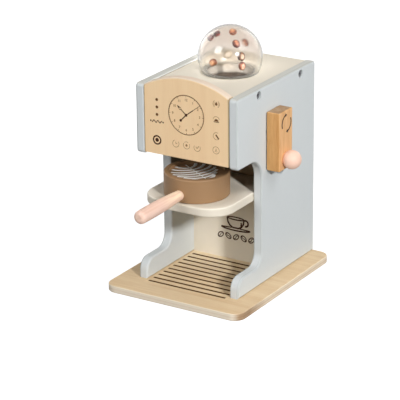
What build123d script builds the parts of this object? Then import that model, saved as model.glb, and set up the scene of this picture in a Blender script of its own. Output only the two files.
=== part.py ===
from build123d import *
import os
from math import cos, radians, sin, sqrt

# Toy coffee maker in painted wood.
# Millimetres. Origin at the centre of the base board's underside, +Z up, the front faces -Y,
# the crank is on the +X side.

# ---------------------------------------------------------------- driving dimensions
# base board
base_width = 166.0
base_depth = 196.0
base_thickness = 8.0
base_corner_radius = 13.0
base_edge_round = 1.2
groove_count = 10
groove_pitch = 9.7
groove_width = 2.4
groove_depth = 0.8
groove_front_inset = 32.0
groove_side_margin = 3.5

# side panels
machine_width = 122.0
panel_thickness = 10.5
panel_depth = 161.0
panel_height = 216.0
panel_edge_round = 2.2
panel_corner_radius = 4.0
head_height = 75.7
head_fillet = 21.0
waist_setback = 48.5
foot_height = 21.5
foot_nose_radius = 13.0
foot_fillet = 14.0

# boards between the side panels
board_thickness = 9.5
board_edge_round = 1.2
arch_rise = 13.5
arch_edge_round = 2.0
top_setdown = 1.7
fascia_lift = 2.7
back_panel_setback = 93.0
head_floor_recess = 2.0

# cup shelf
shelf_top_height = 108.0
shelf_overhang = 17.0
shelf_corner_radius = 27.5
shelf_edge_round = 1.8

# dome, its tray and the beans
dome_radius = 34.0
dome_wall = 1.6
dome_centre_rise = 15.5
dome_setback = 88.0
dome_lip_thickness = 1.4
dome_spigot_radius = 26.0
dome_spigot_length = 8.0
dome_seat_gap = 0.15
tray_outer_radius = 32.0
tray_height = 16.0
tray_floor = 4.0
tray_corner_round = 3.0
bean_length = 9.2
bean_width = 7.8
bean_crease_width = 0.8
bean_crease_depth = 0.7
bean_wall_gap = 0.2

# crank on the right-hand panel
crank_width = 27.0
crank_length = 63.6
crank_thickness = 15.5
crank_edge_round = 1.4
crank_pivot_setback = 69.5
crank_pivot_drop = 40.9
crank_play = 0.3
washer_thickness = 0.8
washer_radius = 9.0
axle_radius = 5.0
axle_running_gap = 0.08
axle_glue_depth = 12.0
axle_tail = 4.0
collar_radius = 12.0
collar_thickness = 9.0
collar_edge_round = 1.0
pin_radius = 1.25
pin_length = 20.0
knob_radius = 10.1
knob_stand_off = 7.1
knob_end_inset = 11.6
knob_dowel_radius = 3.0
knob_dowel_depth = 9.0

# portafilter: a turned cup with a dowel handle
cup_radius = 34.5
cup_height = 25.6
cup_wall = 5.4
cup_recess_depth = 3.2
cup_edge_round = 1.5
cup_rear_gap = 38.8
cup_slide_gap = 0.2
handle_height = 8.3
handle_length = 76.0
handle_neck_radius = 5.2
handle_swell_radius = 7.3
handle_swell_at = 50.0
handle_tip_radius = 7.0
handle_tip_round = 4.6
handle_cope_trim = 1.0
handle_dowel_radius = 3.0
handle_dowel_depth = 12.0

# fasteners
screw_head_radius = 4.0
screw_head_height = 3.0
screw_shank_radius = 1.9
panel_screw_length = 32.0
base_screw_length = 20.0
screw_sink_depth = 4.5
screw_sink_gap = 0.4
screw_hole_gap = 0.05
screw_key_width = 4.0
screw_key_depth = 1.6
top_screw_setbacks = (42.5, 129.0)
base_screw_setbacks = (24.0, 128.0)
dowel_radius = 2.5
dowel_length = 20.0
dowel_panel_depth = 7.5
dowel_hole_gap = 0.05
fascia_dowel_inset = 14.0
shelf_dowel_front_inset = 12.0
shelf_dowel_rear_inset = 10.0
floor_dowel_inset = 25.0

# ---------------------------------------------------------------- shared places
base_top = base_thickness
machine_top = base_top + panel_height
machine_rear = base_depth / 2
machine_front = machine_rear - panel_depth
half_width = machine_width / 2
half_gap = half_width - panel_thickness
waist_front = machine_front + waist_setback
head_bottom = machine_top - head_height
fascia_bottom = head_bottom + fascia_lift
foot_top = base_top + foot_height
top_board_top = machine_top - top_setdown
top_board_bottom = top_board_top - board_thickness
top_board_centre_z = top_board_top - board_thickness / 2
fascia_rear = machine_front + board_thickness
back_panel_front = machine_front + back_panel_setback
rear_panel_front = machine_rear - board_thickness
head_floor_bottom = fascia_bottom + head_floor_recess
shelf_bottom = shelf_top_height - board_thickness
shelf_front = machine_front - shelf_overhang
dome_y = machine_front + dome_setback
dome_centre_z = top_board_top + dome_centre_rise
hopper_hole_radius = dome_spigot_radius + dome_seat_gap
crank_y = machine_front + crank_pivot_setback
crank_pivot_height = machine_top - crank_pivot_drop
crank_inner_x = half_width + washer_thickness + crank_play
crank_outer_x = crank_inner_x + crank_thickness
crank_top = crank_pivot_height + crank_width / 2
crank_bottom = crank_top - crank_length
cup_y = back_panel_front - cup_rear_gap - cup_radius
cup_bottom = shelf_top_height + cup_slide_gap
handle_z = cup_bottom + handle_height
handle_root_y = cup_y - cup_radius

# two cross dowels join each board to each side panel, given as (y, z) pairs
fascia_centre_y = machine_front + board_thickness / 2
shelf_centre_z = shelf_bottom + board_thickness / 2
floor_centre_z = head_floor_bottom + board_thickness / 2
fascia_dowels = [(fascia_centre_y, fascia_bottom + fascia_dowel_inset),
                 (fascia_centre_y, machine_top - fascia_dowel_inset)]
shelf_dowels = [(waist_front + shelf_dowel_front_inset, shelf_centre_z),
                (back_panel_front - shelf_dowel_rear_inset, shelf_centre_z)]
floor_dowels = [(fascia_rear + floor_dowel_inset, floor_centre_z),
                (rear_panel_front - floor_dowel_inset, floor_centre_z)]
dowel_points = fascia_dowels + shelf_dowels + floor_dowels

# how far the screws bite into the second piece
panel_screw_bite = screw_sink_depth + panel_screw_length - panel_thickness
base_screw_bite = screw_sink_depth + base_screw_length - base_thickness

os.makedirs("parts", exist_ok=True)


def save(piece, name):
    """Label a finished piece and write its STEP file."""
    piece.part.label = name
    export_step(piece.part, "parts/" + name + ".step")


def side_plane(side, x, y, z):
    """A plane square to X that looks outwards on the given side."""
    return Plane(origin=(x, y, z), x_dir=(0, side, 0), z_dir=(side, 0, 0))


# ---------------------------------------------------------------- base board
with BuildPart() as base_board:
    with BuildSketch():
        RectangleRounded(base_width, base_depth, base_corner_radius)
    extrude(amount=base_thickness)
    fillet(base_board.faces().filter_by(Axis.Z).edges(), base_edge_round)
    # drip grooves across the cup stand
    groove_length = 2 * (half_gap - groove_side_margin)
    groove_span = groove_pitch * (groove_count - 1)
    groove_centre_y = -base_depth / 2 + groove_front_inset + groove_span / 2
    with BuildSketch(Plane(origin=(0, groove_centre_y, base_top))):
        with GridLocations(groove_length, groove_pitch, 1, groove_count):
            Rectangle(groove_length, groove_width)
    extrude(amount=-groove_depth, mode=Mode.SUBTRACT)
    # screws come up through the board into the side panels
    base_screw_planes = [
        Plane(origin=(side * (half_gap + panel_thickness / 2), machine_front + setback, 0),
              z_dir=(0, 0, -1))
        for side in (-1, 1) for setback in base_screw_setbacks]
    with Locations(*base_screw_planes):
        CounterBoreHole(screw_shank_radius + screw_hole_gap, screw_head_radius + screw_sink_gap,
                        screw_sink_depth, depth=base_thickness)
save(base_board, "base_board")


# ---------------------------------------------------------------- side panels
def make_side_panel(side, has_crank):
    """A panel with the head flush in front, a set-back waist and a foot with a round nose."""
    with BuildPart() as panel:
        with BuildSketch(Plane.YZ.offset(side * half_gap)) as outline:
            with BuildLine():
                Polyline((machine_front, base_top), (machine_front, foot_top),
                         (waist_front, foot_top), (waist_front, head_bottom),
                         (machine_front, head_bottom), (machine_front, machine_top),
                         (machine_rear, machine_top), (machine_rear, base_top), close=True)
            make_face()
            corners = [((machine_front, foot_top), foot_nose_radius),
                       ((waist_front, foot_top), foot_fillet),
                       ((waist_front, head_bottom), head_fillet),
                       ((machine_front, head_bottom), panel_corner_radius),
                       ((machine_front, machine_top), panel_corner_radius),
                       ((machine_rear, machine_top), panel_corner_radius)]
            for (corner_y, corner_z), radius in corners:
                spot = outline.vertices().sort_by_distance((corner_y, corner_z, 0))[0]
                fillet(spot, radius)
        extrude(amount=side * panel_thickness)
        fillet(panel.faces().filter_by(Axis.X).edges(), panel_edge_round)
        # sunk screws that hold the top board
        with Locations(*[side_plane(side, side * half_width, machine_front + setback,
                                    top_board_centre_z)
                         for setback in top_screw_setbacks]):
            CounterBoreHole(screw_shank_radius + screw_hole_gap,
                            screw_head_radius + screw_sink_gap,
                            screw_sink_depth, depth=panel_thickness)
        # blind holes for the cross dowels, drilled from the inner face
        with Locations(*[side_plane(-side, side * half_gap, y, z) for y, z in dowel_points]):
            Hole(dowel_radius + dowel_hole_gap, depth=dowel_panel_depth + dowel_hole_gap)
        # pilot holes for the screws that come up through the base
        with Locations(*[Plane(origin=(side * (half_gap + panel_thickness / 2),
                                       machine_front + setback, base_top), z_dir=(0, 0, -1))
                         for setback in base_screw_setbacks]):
            Hole(screw_shank_radius + screw_hole_gap, depth=base_screw_bite + screw_hole_gap)
        if has_crank:
            with Locations(side_plane(side, side * half_width, crank_y, crank_pivot_height)):
                Hole(axle_radius + axle_running_gap, depth=panel_thickness)
    return panel


left_side_panel = make_side_panel(-1, has_crank=False)
save(left_side_panel, "left_side_panel")
right_side_panel = make_side_panel(1, has_crank=True)
save(right_side_panel, "right_side_panel")


# ---------------------------------------------------------------- boards between the panels
def drill_side_dowels(points):
    """Dowel holes in both ends of the board being built."""
    hole_depth = dowel_length - dowel_panel_depth + dowel_hole_gap
    with Locations(*[side_plane(side, side * half_gap, y, z)
                     for side in (-1, 1) for y, z in points]):
        Hole(dowel_radius + dowel_hole_gap, depth=hole_depth)


with BuildPart() as front_fascia:
    with BuildSketch(Plane.XZ.offset(-machine_front)):
        with BuildLine():
            Line((-half_gap, machine_top), (-half_gap, fascia_bottom))
            Line((-half_gap, fascia_bottom), (half_gap, fascia_bottom))
            Line((half_gap, fascia_bottom), (half_gap, machine_top))
            ThreePointArc((half_gap, machine_top), (0, machine_top + arch_rise),
                          (-half_gap, machine_top))
        make_face()
    extrude(amount=-board_thickness)
    fillet(front_fascia.edges().filter_by(GeomType.CIRCLE), arch_edge_round)
    drill_side_dowels(fascia_dowels)
save(front_fascia, "front_fascia")

with BuildPart() as top_board:
    with BuildSketch(Plane.XY.offset(top_board_bottom)):
        with Locations((0, (fascia_rear + machine_rear) / 2)):
            Rectangle(2 * half_gap, machine_rear - fascia_rear)
        with Locations((0, dome_y)):
            Circle(hopper_hole_radius, mode=Mode.SUBTRACT)
    extrude(amount=board_thickness)
    rear_top_edge = top_board.edges().filter_by(Axis.X).group_by(Axis.Z)[-1].sort_by(Axis.Y)[-1]
    fillet(rear_top_edge, board_edge_round)
    with Locations(*[side_plane(side, side * half_gap, machine_front + setback,
                                top_board_centre_z)
                     for side in (-1, 1) for setback in top_screw_setbacks]):
        Hole(screw_shank_radius + screw_hole_gap, depth=panel_screw_bite + screw_hole_gap)
save(top_board, "top_board")

with BuildPart() as head_floor:
    with BuildSketch(Plane.XY.offset(head_floor_bottom)):
        with Locations((0, (fascia_rear + rear_panel_front) / 2)):
            Rectangle(2 * half_gap, rear_panel_front - fascia_rear)
    extrude(amount=board_thickness)
    drill_side_dowels(floor_dowels)
save(head_floor, "head_floor")

with BuildPart() as back_panel:
    with BuildSketch(Plane.XZ.offset(-back_panel_front)):
        with Locations((0, (base_top + head_floor_bottom) / 2)):
            Rectangle(2 * half_gap, head_floor_bottom - base_top)
    extrude(amount=-board_thickness)
save(back_panel, "back_panel")

with BuildPart() as rear_panel:
    with BuildSketch(Plane.XZ.offset(-rear_panel_front)):
        with Locations((0, (base_top + top_board_bottom) / 2)):
            Rectangle(2 * half_gap, top_board_bottom - base_top)
    extrude(amount=-board_thickness)
save(rear_panel, "rear_panel")

with BuildPart() as cup_shelf:
    with BuildSketch(Plane.XY.offset(shelf_bottom)) as shelf_outline:
        with Locations((0, (shelf_front + back_panel_front) / 2)):
            Rectangle(2 * half_gap, back_panel_front - shelf_front)
        fillet(shelf_outline.vertices().group_by(Axis.Y)[0], shelf_corner_radius)
    extrude(amount=board_thickness)
    rim = cup_shelf.faces().filter_by(Axis.Z).edges()
    fillet(rim - rim.group_by(Axis.Y)[-1], shelf_edge_round)
    drill_side_dowels(shelf_dowels)
save(cup_shelf, "cup_shelf")

with BuildPart() as joint_dowels:
    for side in (-1, 1):
        dowel_start = side * (half_gap + dowel_panel_depth)
        for y, z in dowel_points:
            with BuildSketch(side_plane(-side, dowel_start, y, z)):
                Circle(dowel_radius)
            extrude(amount=dowel_length)
save(joint_dowels, "joint_dowels")

# ---------------------------------------------------------------- dome with its beans
dome_plane = Plane(origin=(0, dome_y, top_board_top), x_dir=(1, 0, 0), z_dir=(0, -1, 0))
dome_axis = Axis((0, dome_y, 0), (0, 0, 1))
dome_inner_radius = dome_radius - dome_wall
dome_foot_radius = sqrt(dome_radius ** 2 - dome_centre_rise ** 2)
lip_inner_radius = sqrt(dome_inner_radius ** 2 - (dome_centre_rise - dome_lip_thickness) ** 2)
spigot_inner_radius = dome_spigot_radius - dome_wall

with BuildPart() as dome:
    with BuildSketch(dome_plane):
        with BuildLine():
            ThreePointArc((dome_foot_radius, 0), (dome_radius, dome_centre_rise),
                          (0, dome_centre_rise + dome_radius))
            Line((0, dome_centre_rise + dome_radius), (0, dome_centre_rise + dome_inner_radius))
            ThreePointArc((0, dome_centre_rise + dome_inner_radius),
                          (dome_inner_radius, dome_centre_rise),
                          (lip_inner_radius, dome_lip_thickness))
            Polyline((lip_inner_radius, dome_lip_thickness),
                     (spigot_inner_radius, dome_lip_thickness),
                     (spigot_inner_radius, -dome_spigot_length),
                     (dome_spigot_radius, -dome_spigot_length),
                     (dome_spigot_radius, 0), (dome_foot_radius, 0))
        make_face()
    revolve(axis=dome_axis)
save(dome, "dome")

with BuildPart() as bean_tray:
    with BuildSketch(Plane(origin=(0, dome_y, top_board_bottom - tray_height))):
        Circle(tray_outer_radius)
    extrude(amount=tray_height)
    fillet(bean_tray.faces().sort_by(Axis.Z)[0].edges(), tray_corner_round)
    with BuildSketch(Plane(origin=(0, dome_y, top_board_bottom))):
        Circle(hopper_hole_radius)
    extrude(amount=-(tray_height - tray_floor), mode=Mode.SUBTRACT)
save(bean_tray, "bean_tray")

# each bean lies against the inside of the dome: (bearing round the dome, rise, turn) in degrees
bean_places = [(-163, 42, 20), (172, 50, 70), (-31, 78, 35), (-42, 43, 110), (85, 18, 60),
               (127, -12, 150), (-35, 15, 80), (-34, -5, 90), (-97, 1, 40)]


def bean_plane(bearing, rise, turn):
    """A plane at a bean's centre: its normal points out of the dome, x along the bean."""
    outward = Vector(cos(radians(rise)) * cos(radians(bearing)),
                     cos(radians(rise)) * sin(radians(bearing)), sin(radians(rise)))
    reach = dome_inner_radius - bean_wall_gap - bean_width / 2
    centre = Vector(0, dome_y, dome_centre_z) + outward * reach
    level = Vector(-sin(radians(bearing)), cos(radians(bearing)), 0)
    return Plane(origin=centre, x_dir=level.rotate(Axis((0, 0, 0), outward), turn),
                 z_dir=outward)


with BuildPart() as coffee_beans:
    for bearing, rise, turn in bean_places:
        seat = bean_plane(bearing, rise, turn)
        with BuildSketch(seat):
            SlotOverall(bean_length, bean_width)
            with Locations((0, -bean_width / 2)):
                Rectangle(bean_length, bean_width, mode=Mode.SUBTRACT)
        revolve(axis=Axis(seat.origin, seat.x_dir))
        with BuildSketch(seat.offset(bean_width / 2)):
            Rectangle(bean_length, bean_crease_width)
        extrude(amount=-bean_crease_depth, mode=Mode.SUBTRACT)
save(coffee_beans, "coffee_beans")

# ---------------------------------------------------------------- crank
crank_centre_z = (crank_top + crank_bottom) / 2
knob_z = crank_bottom + knob_end_inset
knob_x = crank_outer_x + knob_stand_off
knob_dowel_start = crank_outer_x - knob_dowel_depth
knob_dowel_length = knob_dowel_depth + knob_stand_off + knob_dowel_radius
axle_outer_x = crank_inner_x + axle_glue_depth
collar_outer_x = half_gap - crank_play
collar_inner_x = collar_outer_x - collar_thickness
axle_inner_x = collar_inner_x - axle_tail
collar_mid_x = (collar_outer_x + collar_inner_x) / 2

with BuildPart() as crank_arm:
    with BuildSketch(Plane(origin=(crank_inner_x, crank_y, crank_centre_z),
                           x_dir=(0, 1, 0), z_dir=(1, 0, 0))):
        Rectangle(crank_width, crank_length)
    extrude(amount=crank_thickness)
    fillet(crank_arm.edges(), crank_edge_round)
    with Locations(side_plane(-1, crank_inner_x, crank_y, crank_pivot_height)):
        Hole(axle_radius, depth=axle_glue_depth)
    with Locations(side_plane(1, crank_outer_x, crank_y, knob_z)):
        Hole(knob_dowel_radius, depth=knob_dowel_depth)
save(crank_arm, "crank_arm")

with BuildPart() as crank_knob:
    with Locations((knob_x, crank_y, knob_z)):
        Sphere(knob_radius)
    split(bisect_by=Plane(origin=(crank_outer_x, 0, 0), z_dir=(1, 0, 0)), keep=Keep.TOP)
    with BuildSketch(side_plane(1, crank_outer_x, crank_y, knob_z)):
        Circle(knob_dowel_radius)
    extrude(amount=knob_stand_off + knob_dowel_radius, mode=Mode.SUBTRACT)
save(crank_knob, "crank_knob")

with BuildPart() as knob_dowel:
    with BuildSketch(side_plane(1, knob_dowel_start, crank_y, knob_z)):
        Circle(knob_dowel_radius)
    extrude(amount=knob_dowel_length)
save(knob_dowel, "knob_dowel")

with BuildPart() as crank_axle:
    with BuildSketch(side_plane(1, axle_inner_x, crank_y, crank_pivot_height)):
        Circle(axle_radius)
    extrude(amount=axle_outer_x - axle_inner_x)
    with BuildSketch(Plane(origin=(collar_mid_x, crank_y, crank_pivot_height - axle_radius))):
        Circle(pin_radius)
    extrude(amount=2 * axle_radius, mode=Mode.SUBTRACT)
save(crank_axle, "crank_axle")

with BuildPart() as axle_washer:
    with BuildSketch(side_plane(1, half_width, crank_y, crank_pivot_height)):
        Circle(washer_radius)
        Circle(axle_radius + axle_running_gap, mode=Mode.SUBTRACT)
    extrude(amount=washer_thickness)
save(axle_washer, "axle_washer")

with BuildPart() as axle_collar:
    with BuildSketch(side_plane(1, collar_inner_x, crank_y, crank_pivot_height)):
        Circle(collar_radius)
    extrude(amount=collar_thickness)
    fillet(axle_collar.edges(), collar_edge_round)
    with Locations(side_plane(1, collar_outer_x, crank_y, crank_pivot_height)):
        Hole(axle_radius, depth=collar_thickness)
    with BuildSketch(Plane(origin=(collar_mid_x, crank_y, crank_pivot_height - collar_radius))):
        Circle(pin_radius)
    extrude(amount=2 * collar_radius, mode=Mode.SUBTRACT)
save(axle_collar, "axle_collar")

with BuildPart() as collar_pin:
    with BuildSketch(Plane(origin=(collar_mid_x, crank_y, crank_pivot_height - pin_length / 2))):
        Circle(pin_radius)
    extrude(amount=pin_length)
save(collar_pin, "collar_pin")

# ---------------------------------------------------------------- portafilter
recess_radius = cup_radius - cup_wall
handle_cope = cup_radius - sqrt(cup_radius ** 2 - handle_neck_radius ** 2) + handle_cope_trim
handle_dowel_start = handle_root_y + handle_dowel_depth

with BuildPart() as portafilter_cup:
    with BuildSketch(Plane(origin=(0, cup_y, cup_bottom))):
        Circle(cup_radius)
    extrude(amount=cup_height)
    fillet(portafilter_cup.edges().filter_by(GeomType.CIRCLE), cup_edge_round)
    with BuildSketch(Plane(origin=(0, cup_y, cup_bottom + cup_height))):
        Circle(recess_radius)
    extrude(amount=-cup_recess_depth, mode=Mode.SUBTRACT)
    with BuildSketch(Plane.XZ.offset(-handle_dowel_start)):
        with Locations((0, handle_z)):
            Circle(handle_dowel_radius)
    extrude(amount=2 * handle_dowel_depth, mode=Mode.SUBTRACT)
save(portafilter_cup, "portafilter_cup")

# the handle is turned about an axis along Y: local x runs out from the cup, and the inner end is
# turned a little long so that it can be coped to the round cup
handle_plane = Plane(origin=(0, handle_root_y, handle_z), x_dir=(0, -1, 0), z_dir=(-1, 0, 0))
handle_axis = Axis((0, handle_root_y, handle_z), (0, -1, 0))

with BuildPart() as portafilter_handle:
    with BuildSketch(handle_plane):
        with BuildLine():
            ThreePointArc((-handle_cope, handle_neck_radius),
                          (handle_swell_at, handle_swell_radius),
                          (handle_length, handle_tip_radius))
            Polyline((handle_length, handle_tip_radius), (handle_length, 0), (-handle_cope, 0),
                     (-handle_cope, handle_neck_radius))
        make_face()
    revolve(axis=handle_axis)
    fillet(portafilter_handle.edges().group_by(Axis.Y)[0], handle_tip_round)
    # the inner end is coped to the round cup and bored for the dowel
    with BuildSketch(Plane(origin=(0, cup_y, cup_bottom))):
        Circle(cup_radius)
    extrude(amount=cup_height, mode=Mode.SUBTRACT)
    with BuildSketch(Plane.XZ.offset(-handle_dowel_start)):
        with Locations((0, handle_z)):
            Circle(handle_dowel_radius)
    extrude(amount=2 * handle_dowel_depth, mode=Mode.SUBTRACT)
save(portafilter_handle, "portafilter_handle")

with BuildPart() as handle_dowel:
    with BuildSketch(Plane.XZ.offset(-handle_dowel_start)):
        with Locations((0, handle_z)):
            Circle(handle_dowel_radius)
    extrude(amount=2 * handle_dowel_depth)
save(handle_dowel, "handle_dowel")


# ---------------------------------------------------------------- screws
def make_screws(seats, length):
    """Socket-head wood screws: each head lies on its seat plane and points out of it."""
    with BuildPart() as screws:
        for seat in seats:
            with BuildSketch(seat):
                Circle(screw_head_radius)
            extrude(amount=screw_head_height)
            with BuildSketch(seat):
                Circle(screw_shank_radius)
            extrude(amount=-length)
            with BuildSketch(seat.offset(screw_head_height)):
                RegularPolygon(screw_key_width / 2, 6)
            extrude(amount=-screw_key_depth, mode=Mode.SUBTRACT)
    return screws


panel_screws = make_screws([side_plane(side, side * (half_width - screw_sink_depth),
                                       machine_front + setback, top_board_centre_z)
                            for side in (-1, 1) for setback in top_screw_setbacks],
                           panel_screw_length)
save(panel_screws, "panel_screws")

base_screws = make_screws([Plane(origin=(side * (half_gap + panel_thickness / 2),
                                         machine_front + setback, screw_sink_depth),
                                 z_dir=(0, 0, -1))
                           for side in (-1, 1) for setback in base_screw_setbacks],
                          base_screw_length)
save(base_screws, "base_screws")
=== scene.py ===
"""Toy coffee maker: paints, woods, printed dial and buttons, coffee beans and a small studio."""

from math import cos, pi, radians, sin, tau

import bpy
from bpy.props import FloatProperty, FloatVectorProperty, IntProperty, PointerProperty
from mathutils import Matrix, Vector


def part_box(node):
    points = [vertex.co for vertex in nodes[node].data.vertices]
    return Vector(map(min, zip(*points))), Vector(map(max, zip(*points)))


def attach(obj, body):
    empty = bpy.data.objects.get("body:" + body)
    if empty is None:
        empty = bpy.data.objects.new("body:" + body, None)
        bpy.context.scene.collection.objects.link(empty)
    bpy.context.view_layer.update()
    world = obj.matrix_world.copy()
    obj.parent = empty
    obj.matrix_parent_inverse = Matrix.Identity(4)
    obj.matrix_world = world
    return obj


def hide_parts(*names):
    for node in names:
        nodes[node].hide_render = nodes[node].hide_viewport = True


bl_info = {
    "name": "Toy Coffee Maker",
    "version": (1, 0, 0),
    "blender": (4, 5, 0),
    "location": "View3D > Sidebar > Coffee Maker",
    "description": "Finishes and prints for a wooden toy coffee maker",
    "category": "Add Mesh",
}

MM = 0.001

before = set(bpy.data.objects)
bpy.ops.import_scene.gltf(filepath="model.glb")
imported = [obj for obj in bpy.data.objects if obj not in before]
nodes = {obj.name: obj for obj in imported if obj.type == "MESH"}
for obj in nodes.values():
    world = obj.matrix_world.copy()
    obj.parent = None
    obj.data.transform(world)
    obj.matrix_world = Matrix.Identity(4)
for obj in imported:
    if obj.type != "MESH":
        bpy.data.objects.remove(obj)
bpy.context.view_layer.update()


# ---------------------------------------------------------------- places read from the frame
def middle(node):
    """Centre of a node's box."""
    low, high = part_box(node)
    return (low + high) / 2


base_low, base_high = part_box("base_board")
fascia_low, fascia_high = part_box("front_fascia")
panel_low, panel_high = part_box("right_side_panel")
handle_low, handle_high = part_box("portafilter_handle")
cup_low, cup_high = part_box("portafilter_cup")
dome_low, dome_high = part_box("dome")
back_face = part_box("back_panel")[0].y
arm_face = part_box("crank_arm")[1].x
shelf_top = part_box("cup_shelf")[1].z
board_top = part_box("top_board")[1].z
axle_middle = middle("crank_axle")
cup_middle = middle("portafilter_cup")
cup_radius = (cup_high.x - cup_low.x) / 2
dome_radius = (dome_high.x - dome_low.x) / 2
dome_centre = Vector((0, middle("dome").y, dome_high.z - dome_radius))
# radius of the dome where it passes the top board's upper face
dome_foot = (dome_radius ** 2 - (dome_centre.z - board_top) ** 2) ** 0.5


# ---------------------------------------------------------------- what a user would change
def srgb(red, green, blue):
    """Linear colour of an 8-bit display colour."""
    def linear(value):
        value = value / 255
        return value / 12.92 if value <= 0.04045 else ((value + 0.055) / 1.055) ** 2.4
    return (linear(red), linear(green), linear(blue))


def colour_prop(name, description, default):
    """A linear colour, as srgb gives it."""
    return FloatVectorProperty(name=name, description=description, subtype="COLOR", size=3,
                               min=0.0, max=1.0, default=default)


def length_prop(name, description, millimetres):
    """A length, kept in metres."""
    return FloatProperty(name=name, description=description, unit="LENGTH", min=0.0,
                         default=millimetres * MM)


def angle_prop(name, description, degrees):
    """An angle, kept in radians."""
    return FloatProperty(name=name, description=description, unit="ROTATION",
                         default=radians(degrees))


def power_prop(name, description, watts):
    """A lamp's power."""
    return FloatProperty(name=name, description=description, unit="POWER", min=0.0,
                         default=watts)


def share_prop(name, description, default):
    """A value from none to all."""
    return FloatProperty(name=name, description=description, subtype="FACTOR", min=0.0,
                         max=1.0, default=default)


class PaintColours(bpy.types.PropertyGroup):
    """Paints of the toy."""
    blue_grey: colour_prop("Side panels", "Paint of the two side panels", srgb(213, 218, 219))
    cream: colour_prop("Boards", "Paint of the top, shelf and back", srgb(231, 222, 205))
    coffee_brown: colour_prop("Portafilter", "Paint of the portafilter cup", srgb(157, 123, 88))
    rose: colour_prop("Handle", "Paint of the portafilter handle", srgb(243, 208, 191))
    rose_streak: colour_prop("Handle grain", "Grain seen through the handle's paint",
                             srgb(233, 193, 172))
    # thin paint, and near the cup also painted light against the shade there
    rose_worn: colour_prop("Handle, worn", "Thin places of the handle's paint",
                           srgb(255, 230, 200))
    peach: colour_prop("Knob", "Paint of the crank knob", srgb(245, 205, 184))
    # painted shade: a dark brown for the boards inside the head and the bean tray, darkening the
    # bay and the dome's mouth
    inner_stain: colour_prop("Inner boards", "Stain of the boards inside the head",
                             srgb(66, 50, 38))


class WoodColours(bpy.types.PropertyGroup):
    """Woods of the toy, light grain first."""
    fascia_light: colour_prop("Front, light", "Light grain of the front", srgb(250, 218, 175))
    fascia_dark: colour_prop("Front, dark", "Dark grain of the front", srgb(246, 212, 168))
    ply_light: colour_prop("Base, light", "Light grain of the plywood", srgb(240, 216, 178))
    ply_dark: colour_prop("Base, dark", "Dark grain of the plywood", srgb(229, 200, 159))
    groove: colour_prop("Drip lines", "Burnt bottom of the drip lines", srgb(90, 54, 18))
    beech_light: colour_prop("Crank, light", "Light grain of the crank", srgb(228, 181, 127))
    beech_dark: colour_prop("Crank, dark", "Dark grain of the crank", srgb(208, 155, 100))
    # partly sanded wood, partly a painted highlight on the arch's rounded edge
    sanded: colour_prop("Sanded arch", "Paler cut edge along the front's arch",
                        (0.80, 0.655, 0.52))
    # painted shadow of the gap between the front and the panels
    joint: colour_prop("Joint lines", "Dark line between front and panels", srgb(168, 148, 116))
    dowel: colour_prop("Dowels", "Plain dowel wood", srgb(222, 194, 150))


class InkColours(bpy.types.PropertyGroup):
    """Inks of the prints."""
    dark: colour_prop("Dark ink", "Hands, power button and pictures", srgb(66, 36, 16))
    arrow: colour_prop("Arrow ink", "Turning arrows on the crank", srgb(38, 20, 10))
    dial: colour_prop("Dial ink", "Dial ring, dots and larger signs", srgb(104, 68, 34))
    soft: colour_prop("Soft ink", "Numbers and small buttons", srgb(150, 110, 70))
    milk: colour_prop("White ink", "Leaf on the portafilter", srgb(252, 250, 244))


class PrintSizes(bpy.types.PropertyGroup):
    """Sizes of the prints."""
    dial_radius: length_prop("Dial radius", "Outer ring of the clock", 21.0)
    dial_line: length_prop("Dial line", "Width of the ring's line", 0.95)
    dial_numbers: IntProperty(name="Dial numbers", description="Hours on the dial", min=1,
                              default=12)
    number_height: length_prop("Number height", "Height of the dial's numbers", 3.6)
    button_radius: length_prop("Button radius", "Radius of a small round button", 3.8)
    arrow_radius: length_prop("Arrow radius", "Radius of the crank's turning arrows", 9.2)
    ink_thickness: length_prop("Ink thickness", "How far ink stands on the wood", 0.05)


class StudioSettings(bpy.types.PropertyGroup):
    """Camera and lights."""
    view_azimuth: angle_prop("Azimuth", "Camera turn towards the crank", 31.99)
    view_elevation: angle_prop("Elevation", "Camera height angle", 20.64)
    view_roll: angle_prop("Roll", "Camera roll", -0.63)
    view_distance: length_prop("Distance", "Camera to the aim point", 2155.7)
    view_aim: FloatVectorProperty(name="Aim", description="Point in the middle of the view",
                                  subtype="XYZ", unit="LENGTH",
                                  default=(-12.8 * MM, -17.2 * MM, 89.3 * MM))
    lens: FloatProperty(name="Lens", description="Focal length in millimetres", unit="CAMERA",
                        min=1.0, default=183.97)
    key_azimuth: angle_prop("Key azimuth", "Key light's turn to the right", 56.6)
    key_elevation: angle_prop("Key elevation", "Key light's height angle", 24.5)
    key_power: power_prop("Key power", "Watts of the key light", 65)
    front_power: power_prop("Front power", "Watts of the front softbox", 25)
    top_power: power_prop("Top power", "Watts of the top softbox", 13)
    window_power: power_prop("Window power", "Watts of the light that only glints on the dome",
                             54)
    side_power: power_prop("Side power", "Watts of the crank-side softbox", 19.3)
    left_power: power_prop("Left power", "Watts of the light for the left side", 30.4)
    back_power: power_prop("Back power", "Watts of the light for the back", 19)
    surround: share_prop("Surround", "Brightness of the white surround", 1.0)
    surround_gloss: share_prop("Surround in gloss", "Brightness of the surround in reflections",
                               0.6)
    floor_grey: share_prop("Floor grey", "How much light the floor throws back", 0.235)
    floor_glow: share_prop("Floor glow", "Lifts the floor to white", 0.95)


class CoffeeToySettings(bpy.types.PropertyGroup):
    """All settings of the toy."""
    paint: PointerProperty(type=PaintColours)
    wood: PointerProperty(type=WoodColours)
    ink: PointerProperty(type=InkColours)
    prints: PointerProperty(type=PrintSizes)
    studio: PointerProperty(type=StudioSettings)


def settings():
    """The toy's settings in this scene."""
    return bpy.context.scene.coffee_toy


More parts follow.
